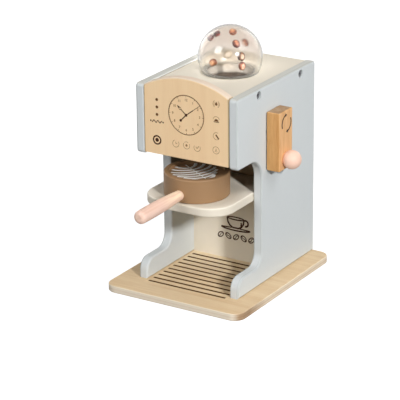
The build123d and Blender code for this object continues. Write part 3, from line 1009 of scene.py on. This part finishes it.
def print_fascia():
    """All prints on the front."""
    ink = settings().ink
    dark = ink_material("dark_ink", ink.dark)
    dial = ink_material("dial_ink", ink.dial)
    soft = ink_material("soft_ink", ink.soft)
    dial_z = fascia_low.z / MM + DIAL_HEIGHT
    # each row: name, drawing, ink, place across and height over the origin
    for name, drawn, colour, x, z in (
            ("clock_dial", draw_dial(), dial, DIAL_X, dial_z),
            ("clock_numbers", draw_numbers(), soft, DIAL_X, dial_z),
            ("clock_hands", draw_hands(), dark, DIAL_X, dial_z),
            ("level_dots", draw_level_dots(), dial, -35.0, 201.7),
            ("ripple_print", draw_ripple(), dark, -35.2, 186.1),
            ("power_button", draw_power_button(), dark, -35.4, 166.1)):
        lay_ink(drawn, name, front_place(x, fascia_low.y, z), colour, "machine")

    timer_hands = [(0, 2.0), (0, 0), (1.8, 0)]
    tick = [(-1.5, 0.8), (0, -0.9), (2.0, 1.9)]
    spoon = [(-0.8, 1.5), (2.7, -2.7)]
    flask = [(0, 2.0), (0, 0.6), (-1.5, -1.5), (1.5, -1.5), (0, 0.6)]
    steam_ring = button_ring((-60, 60), (120, 240)) + [ink_arc(2.6, 0.4, -45, 45),
                                                       ink_arc(2.6, 0.4, 135, 225)]
    # each row: name, broken ring, mark inside it, the mark's ink, place and height
    for name, ring, mark, colour, x, z in (
            ("timer", button_ring((110, 400)), [ink_line(timer_hands, 0.6)], soft,
             -12.6, 166.0),
            ("one_cup", button_ring((60, 130), (150, 390)), [ink_dot(1.3)], soft, 0.3, 166.2),
            ("check", button_ring((150, 390)), [ink_line(tick, 0.7)], soft, 13.0, 165.8),
            ("steam", steam_ring, draw_drop(), dial, 36.2, 216.2),
            ("lid", button_ring((20, 160)), draw_lid(), dial, 36.2, 199.2),
            ("spoon", button_ring((60, 330)), [ink_line(spoon, 1.6)], dial, 36.2, 182.2),
            ("flask", button_ring((0, 360)), [ink_line(flask, 0.6)], soft, 35.6, 167.0)):
        place = front_place(x, fascia_low.y, z)
        lay_ink(ring, f"{name}_ring", place, soft, "machine")
        lay_ink(mark, f"{name}_mark", place, colour, "machine")


# ---------------------------------------------------------------- prints on back, cup and crank
def draw_cup_picture():
    """A cup on a saucer, in outline."""
    rim_reach, rim_height, rim_depth = 10.4, 4.9, 1.5
    saucer_reach, saucer_height, saucer_depth = 18.0, -6.6, 2.4
    right_side = [(3.6, -6.0), (7.2, -4.0), (9.6, -0.4), (rim_reach, 4.6)]
    bowl = [(-x, y) for x, y in reversed(right_side)] + right_side
    angles = [tau * i / 24 for i in range(24)]
    rim = [(rim_reach * cos(a), rim_height + rim_depth * sin(a)) for a in angles]
    saucer = [(saucer_reach * cos(a), saucer_height - saucer_depth * sin(a))
              for a in angles[:13]]
    saucer_side = [(saucer_reach, saucer_height), (5, -6.2)]
    return [ink_line(bowl, 1.9), ink_line(rim, 1.5, closed=True),
            ink_arc(3.4, 2.0, -100, 120, (12.2, 1.2)),
            ink_line(saucer, 1.7), ink_line([(-x, y) for x, y in saucer_side], 1.4),
            ink_line(saucer_side[::-1], 1.4),
            ink_arc(4.6, 1.8, -35, 25, (2.4, -0.6))]


def draw_bean_row():
    """A row of small bean ornaments that lean to and fro."""
    pitch, half_length, half_width, sway = 9.6, 3.9, 2.5, 0.7
    drawn = []
    for i in range(5):
        lean = Matrix.Rotation(radians(40 if i % 2 == 0 else -40), 2)
        place = Vector(((i - 2) * pitch, 0))
        outline = [Vector((half_length * cos(a), half_width * sin(a)))
                   for a in [tau * k / 20 for k in range(20)]]
        crease = [Vector((t, sway * sin(t * 1.2))) for t in (-3.2, -2.0, -0.8, 0.8, 2.0, 3.2)]
        drawn += [ink_line([place + lean @ p for p in outline], 1.2, closed=True),
                  ink_line([place + lean @ p for p in crease], 1.0)]
    return drawn


def print_back_panel():
    """The cup picture and the row of beans under it."""
    dark = ink_material("back_ink", settings().ink.dark)
    lay_ink(draw_cup_picture(), "cup_picture", front_place(2.6, back_face, 50.6), dark,
            "machine")
    lay_ink(draw_bean_row(), "bean_row_print", front_place(3.0, back_face, 34.0), dark,
            "machine")


def bent_line(start, bend, end, steps=10):
    """Points from start to end that swing towards the bend."""
    shares = [i / steps for i in range(steps + 1)]
    return [(1 - t) ** 2 * Vector(start) + 2 * t * (1 - t) * Vector(bend) + t ** 2 * Vector(end)
            for t in shares]


def draw_leaf():
    """A poured-milk leaf: a stem with paired ribs, the longest in the middle."""
    rib_count, rib_pitch, first_root, longest = 7, 6.6, -23.0, 24.5
    stem_width, rib_width = 1.4, 3.5
    drawn = [ink_line([(0, -26.5), (0, 27)], stem_width)]
    for i in range(rib_count):
        root = first_root + rib_pitch * i
        lift = 8.0 + 0.5 * i
        reach = longest * sin(pi * (i + 1.5) / (rib_count + 2.0))
        for out in (-reach, reach):
            rib = bent_line((0, root), (out * 0.7, root + 1.0), (out, root + lift))
            drawn.append(ink_line(rib, rib_width))
    return drawn


def print_cup_leaf():
    """The leaf on the floor of the cup's recess."""
    recess_depth = 3.2 * MM
    turn = radians(58)
    place = surface_matrix((cup_middle.x, cup_middle.y, cup_high.z - recess_depth),
                           (cos(turn), sin(turn), 0), (-sin(turn), cos(turn), 0))
    lay_ink(draw_leaf(), "milk_leaf", place, ink_material("milk_ink", settings().ink.milk),
            "portafilter")


def print_crank_arrows():
    """Two turning arrows around the crank's axle."""
    line_width, head_half_width, head_angle = 1.8, 2.3, 21
    shift_back, shift_down = 0.9 * MM, 0.3 * MM
    radius = settings().prints.arrow_radius / MM
    drawn = []
    for start, end in ((205, 105), (25, -75)):
        corners = ((radius + head_half_width, end), (radius, end - head_angle),
                   (radius - head_half_width, end))
        drawn.append(ink_arc(radius, line_width, start, end))
        drawn.append(ink_wedge([(reach * cos(radians(angle)), reach * sin(radians(angle)))
                                for reach, angle in corners]))
    place = surface_matrix((arm_face, axle_middle.y + shift_back, axle_middle.z - shift_down),
                           (0, 1, 0), (0, 0, 1))
    lay_ink(drawn, "turn_arrows", place, ink_material("arrow_ink", settings().ink.arrow), "crank")


# ---------------------------------------------------------------- coffee beans
BEAN_HALF = Vector((4.6, 3.9, 3.3)) * MM
CREASE_DEPTH = 0.3
CREASE_HALF_WIDTH = 0.3
# rim, body and pale band of each bean, from the lowest bean up; the rim is partly painted shade,
# the pale band partly a painted highlight
BEAN_PAINTS = {
    "ivory": (srgb(104, 90, 60), srgb(214, 202, 180), srgb(236, 230, 218)),
    "orange": (srgb(104, 50, 30), srgb(154, 92, 62), srgb(226, 186, 162)),
    "peach": (srgb(108, 56, 30), srgb(172, 112, 72), srgb(216, 172, 134)),
    "brown": (srgb(58, 34, 18), srgb(112, 76, 50), srgb(220, 202, 182)),
    "rosy": (srgb(112, 60, 42), srgb(186, 138, 114), srgb(228, 200, 184)),
    "mauve": (srgb(76, 10, 10), srgb(132, 40, 32), srgb(194, 136, 124)),
    "russet": (srgb(76, 26, 12), srgb(114, 54, 34), srgb(200, 144, 116)),
    "maroon": (srgb(60, 2, 2), srgb(112, 8, 8), srgb(194, 104, 92)),
    "amber": (srgb(116, 60, 30), srgb(184, 118, 72), srgb(220, 170, 124)),
}


def bean_blank():
    """One coffee bean, long way along X, with a crease above and below."""
    clear_selection()
    bpy.ops.mesh.primitive_uv_sphere_add(segments=28, ring_count=18, radius=1.0,
                                         rotation=(0, radians(90), 0))
    bean = settle(bpy.context.object)
    for vertex in bean.data.vertices:
        x, y, z = vertex.co
        dent = CREASE_DEPTH * max(0.0, 1 - abs(y) / CREASE_HALF_WIDTH) ** 1.5
        vertex.co = (x * BEAN_HALF.x, y * BEAN_HALF.y, z * BEAN_HALF.z * (1 - dent))
    return bean


def add_crease_map(bean):
    """UV map whose X is how far a point lies from the crease, as a share of the width."""
    end_band = 0.15
    layer = bean.data.uv_layers.new(name="crease")
    for loop in bean.data.loops:
        point = bean.data.vertices[loop.vertex_index].co
        along, across = point.x / BEAN_HALF.x, point.y / BEAN_HALF.y
        from_crease = max(abs(across), Vector((along, across)).length - end_band)
        layer.data[loop.index].uv = (from_crease, along)


def bean_places():
    """Centre, long way and outward way of each CAD bean, from the lowest up."""
    beads = nodes["coffee_beans"].copy()
    beads.data = beads.data.copy()
    beads.parent = None
    bpy.context.collection.objects.link(beads)
    pick(beads)
    bpy.ops.object.mode_set(mode="EDIT")
    bpy.ops.mesh.select_all(action="SELECT")
    bpy.ops.mesh.remove_doubles(threshold=1e-6)
    bpy.ops.mesh.separate(type="LOOSE")
    bpy.ops.object.mode_set(mode="OBJECT")
    places = []
    for bead in list(bpy.context.selected_objects):
        points = [vertex.co for vertex in bead.data.vertices]
        low = Vector([min(axis) for axis in zip(*points)])
        high = Vector([max(axis) for axis in zip(*points)])
        centre = (low + high) / 2
        out = (centre - dome_centre).normalized()
        flat = [(p - centre) - out * (p - centre).dot(out) for p in points]
        long_way = max(flat, key=lambda p: p.length).normalized()
        places.append((centre, long_way, out))
        bpy.data.objects.remove(bead)
    return sorted(places, key=lambda place: (round(place[0].z, 4), round(place[0].x, 4)))


def make_beans():
    """Bean beads in place of the plain CAD beads."""
    blank = bean_blank()
    add_crease_map(blank)
    paints = [bean_material(f"{name}_bean", *tones) for name, tones in BEAN_PAINTS.items()]
    for index, (centre, long_way, out) in enumerate(bean_places()):
        bean = blank.copy()
        bean.data = blank.data.copy()
        bean.name = f"coffee_bean_{index + 1}"
        bpy.context.collection.objects.link(bean)
        bean.data.transform(surface_matrix(centre, long_way, out.cross(long_way)))
        bean.data.materials.append(paints[index % len(paints)])
        pick(bean)
        bpy.ops.object.shade_smooth()
        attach(bean, "machine")
        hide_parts("coffee_beans")
    bpy.data.objects.remove(blank)


# ---------------------------------------------------------------- stage
LIGHT_AIM = Vector((0, 0, 120 * MM))


def direction(azimuth, elevation):
    """Unit vector from the toy towards a light or camera; azimuth turns towards the crank."""
    return Vector((sin(azimuth) * cos(elevation), -cos(azimuth) * cos(elevation),
                   sin(elevation)))


def area_light(name, azimuth, elevation, distance, size, power):
    """A square softbox aimed at the middle of the toy."""
    clear_selection()
    way = direction(azimuth, elevation)
    bpy.ops.object.light_add(type="AREA", location=LIGHT_AIM + way * distance)
    lamp = bpy.context.object
    lamp.name = name
    lamp.rotation_euler = way.to_track_quat("Z", "Y").to_euler()
    lamp.data.shape = "SQUARE"
    lamp.data.size = size
    lamp.data.energy = power
    lamp.visible_transmission = False
    return lamp


def make_lights():
    """A small key light, soft light from all sides, and a window that glints on the dome."""
    studio = settings().studio
    # each row: name, azimuth, elevation, distance, size and power
    softboxes = (
        ("key_light", studio.key_azimuth, studio.key_elevation, 3.0, 0.22, studio.key_power),
        ("front_softbox", radians(-8), radians(22), 3.0, 1.15, studio.front_power),
        ("top_softbox", 0, radians(88), 2.5, 2.0, studio.top_power),
        ("dome_window", radians(-20), radians(34), 3.0, 1.2, studio.window_power),
        ("side_softbox", radians(90), radians(45), 3.0, 1.4, studio.side_power),
        ("left_fill", radians(-108), radians(18), 3.0, 2.0, studio.left_power),
        ("back_fill", radians(168), radians(25), 3.0, 2.0, studio.back_power))
    lamps = {box[0]: area_light(*box) for box in softboxes}
    # the front and top boxes would be mirrored in the paint, and the window only glints
    lamps["front_softbox"].visible_glossy = False
    lamps["top_softbox"].visible_glossy = False
    lamps["dome_window"].visible_diffuse = False


def make_camera():
    """A long lens that looks down at the front and the crank's side."""
    studio = settings().studio
    bpy.ops.object.camera_add()
    camera = bpy.context.object
    way = direction(studio.view_azimuth, studio.view_elevation)
    camera.location = Vector(studio.view_aim) + way * studio.view_distance
    turn = (Matrix.Rotation(studio.view_azimuth, 4, "Z")
            @ Matrix.Rotation(pi / 2 - studio.view_elevation, 4, "X")
            @ Matrix.Rotation(studio.view_roll, 4, "Z"))
    camera.rotation_euler = turn.to_euler()
    camera.data.sensor_width = 36
    camera.data.lens = studio.lens
    camera.data.clip_end = 50
    bpy.context.scene.camera = camera


def seen_directly(tree, brightness, in_gloss):
    """A grey seen in the view and through the dome, dimmer in gloss, that lights nothing."""
    ray = add(tree, "ShaderNodeLightPath").outputs
    direct = calculate(tree, "LESS_THAN", ray["Diffuse Depth"], 0.5)
    straight = calculate(tree, "MAXIMUM", ray["Is Camera Ray"], ray["Is Transmission Ray"])
    level = calculate(tree, "MULTIPLY_ADD", straight, brightness - in_gloss, in_gloss)
    return overlap(tree, direct, level)


def make_floor():
    """A pale matt floor that takes a soft shadow and glows up to white."""
    cloud = 0.02
    studio = settings().studio
    clear_selection()
    bpy.ops.mesh.primitive_plane_add(size=12, location=(0, 2, 0))
    floor = bpy.context.object
    floor.name = "studio_floor"
    material, tree, shader = bare_material("pale_floor")
    darker, lighter = ((studio.floor_grey * share,) * 3 for share in (1 - cloud, 1 + cloud))
    tone = mix_colour(tree, noise(tree, on_piece(tree), 3.0, 2.0), darker, lighter)
    feed(tree, tone, shader.inputs["Base Color"])
    shader.inputs["Roughness"].default_value = 0.9
    shader.inputs["Specular IOR Level"].default_value = 0.0
    glow = seen_directly(tree, studio.floor_glow, studio.floor_glow * studio.surround_gloss)
    feed(tree, glow, shader.inputs["Emission Color"])
    shader.inputs["Emission Strength"].default_value = 1.0
    floor.data.materials.append(material)


def make_surround():
    """White all round, for the view and for reflections."""
    studio = settings().studio
    world = bpy.data.worlds.new("studio_surround")
    bpy.context.scene.world = world
    world.use_nodes = True
    tree = world.node_tree
    background = tree.nodes["Background"]
    background.inputs["Color"].default_value = (1, 1, 1, 1)
    feed(tree, seen_directly(tree, studio.surround, studio.surround_gloss),
         background.inputs["Strength"])


# ---------------------------------------------------------------- operators
class COFFEETOY_OT_studio(bpy.types.Operator):
    """Set up the floor, the lights and the camera"""
    bl_idname = "coffeetoy.studio"
    bl_label = "Studio"

    def execute(self, context):
        context.scene.view_settings.view_transform = "Standard"
        make_floor()
        make_surround()
        make_lights()
        make_camera()
        return {"FINISHED"}


class COFFEETOY_OT_painted_boards(bpy.types.Operator):
    """Paint the side panels and the boards between them"""
    bl_idname = "coffeetoy.painted_boards"
    bl_label = "Painted boards"

    def execute(self, context):
        dress(["left_side_panel", "right_side_panel"], panel_material())
        dress(["rear_panel"], cream_paint("cream_paint"))
        dress(["cup_shelf"], shelf_material())
        dress(["back_panel"], bay_back_material())
        dress(["top_board"], top_board_material())
        # painted shade: dark brown boards inside the head and under the dome's mouth
        dress(["head_floor", "bean_tray"],
              paint_material("painted_shade_brown", settings().paint.inner_stain, cloud=0.08,
                             gloss=0.6))
        return {"FINISHED"}


class COFFEETOY_OT_plywood_base(bpy.types.Operator):
    """Finish the plywood base and its burnt drip lines"""
    bl_idname = "coffeetoy.plywood_base"
    bl_label = "Plywood base"

    def execute(self, context):
        dress(["base_board"], plywood_material())
        return {"FINISHED"}


class COFFEETOY_OT_printed_front(bpy.types.Operator):
    """Finish the arched front and print its clock and buttons"""
    bl_idname = "coffeetoy.printed_front"
    bl_label = "Printed front"

    def execute(self, context):
        dress(["front_fascia"], fascia_material())
        print_fascia()
        return {"FINISHED"}


class COFFEETOY_OT_cup_bay_print(bpy.types.Operator):
    """Print the cup picture on the back panel"""
    bl_idname = "coffeetoy.cup_bay_print"
    bl_label = "Cup bay print"

    def execute(self, context):
        print_back_panel()
        return {"FINISHED"}


class COFFEETOY_OT_bean_dome(bpy.types.Operator):
    """Make the dome clear and fill it with coffee beans"""
    bl_idname = "coffeetoy.bean_dome"
    bl_label = "Bean dome"

    def execute(self, context):
        dress(["dome"], clear_plastic_material())
        nodes["dome"].visible_shadow = False
        make_beans()
        return {"FINISHED"}


class COFFEETOY_OT_crank(bpy.types.Operator):
    """Finish the crank arm, its arrows and its ball knob"""
    bl_idname = "coffeetoy.crank"
    bl_label = "Crank"

    def execute(self, context):
        dress(["crank_arm"], crank_material())
        dress(["crank_knob"], paint_material("peach_paint", settings().paint.peach,
                                             cloud=0.02, gloss=0.5))
        print_crank_arrows()
        return {"FINISHED"}


class COFFEETOY_OT_portafilter(bpy.types.Operator):
    """Paint the portafilter and print the milk leaf"""
    bl_idname = "coffeetoy.portafilter"
    bl_label = "Portafilter"

    def execute(self, context):
        brown = settings().paint.coffee_brown
        dress(["portafilter_cup"],
              paint_material("brown_paint", brown, cloud=0.05, gloss=0.5))
        dress(["portafilter_handle"], handle_material())
        print_cup_leaf()
        return {"FINISHED"}


class COFFEETOY_OT_inner_works(bpy.types.Operator):
    """Finish the dowels, axle parts and screws"""
    bl_idname = "coffeetoy.inner_works"
    bl_label = "Inner works and screws"

    def execute(self, context):
        light = settings().wood.dowel
        dark = tuple(channel * 0.8 for channel in light)
        dress(["joint_dowels", "knob_dowel", "crank_axle", "axle_collar", "handle_dowel"],
              wood_material("dowel_wood", light, dark, GRAIN_ALONG_X, pores=0.2, gloss=0.6))
        dress(["axle_washer"],
              paint_material("nylon", (0.80, 0.78, 0.73), cloud=0.02, gloss=0.4))
        dress(["collar_pin"],
              metal_material("steel", (0.6, 0.6, 0.62), metallic=1.0, roughness=0.35))
        dress(["panel_screws", "base_screws"],
              metal_material("grey_steel", (0.26, 0.26, 0.27), metallic=0.5, roughness=0.45))
        return {"FINISHED"}


PIECES = (COFFEETOY_OT_studio, COFFEETOY_OT_painted_boards, COFFEETOY_OT_plywood_base,
          COFFEETOY_OT_printed_front, COFFEETOY_OT_cup_bay_print, COFFEETOY_OT_bean_dome,
          COFFEETOY_OT_crank, COFFEETOY_OT_portafilter, COFFEETOY_OT_inner_works)


class COFFEETOY_PT_sidebar(bpy.types.Panel):
    """Buttons and settings of the toy"""
    bl_idname = "COFFEETOY_PT_sidebar"
    bl_label = "Toy Coffee Maker"
    bl_space_type = "VIEW_3D"
    bl_region_type = "UI"
    bl_category = "Coffee Maker"

    def draw(self, context):
        toy = context.scene.coffee_toy
        for operator in PIECES:
            self.layout.operator(operator.bl_idname)
        for group in (toy.paint, toy.wood, toy.ink, toy.prints, toy.studio):
            box = self.layout.box()
            for key in group.bl_rna.properties.keys():
                if key not in {"rna_type", "name"}:
                    box.prop(group, key)


CLASSES = (PaintColours, WoodColours, InkColours, PrintSizes, StudioSettings,
           CoffeeToySettings, *PIECES, COFFEETOY_PT_sidebar)


def register():
    for item in CLASSES:
        bpy.utils.register_class(item)
    bpy.types.Scene.coffee_toy = PointerProperty(type=CoffeeToySettings)


def unregister():
    del bpy.types.Scene.coffee_toy
    for item in reversed(CLASSES):
        bpy.utils.unregister_class(item)


def main():
    register()
    bpy.ops.coffeetoy.studio()
    bpy.ops.coffeetoy.painted_boards()
    bpy.ops.coffeetoy.plywood_base()
    bpy.ops.coffeetoy.printed_front()
    bpy.ops.coffeetoy.cup_bay_print()
    bpy.ops.coffeetoy.bean_dome()
    bpy.ops.coffeetoy.crank()
    bpy.ops.coffeetoy.portafilter()
    bpy.ops.coffeetoy.inner_works()


if __name__ == "__main__":
    main()
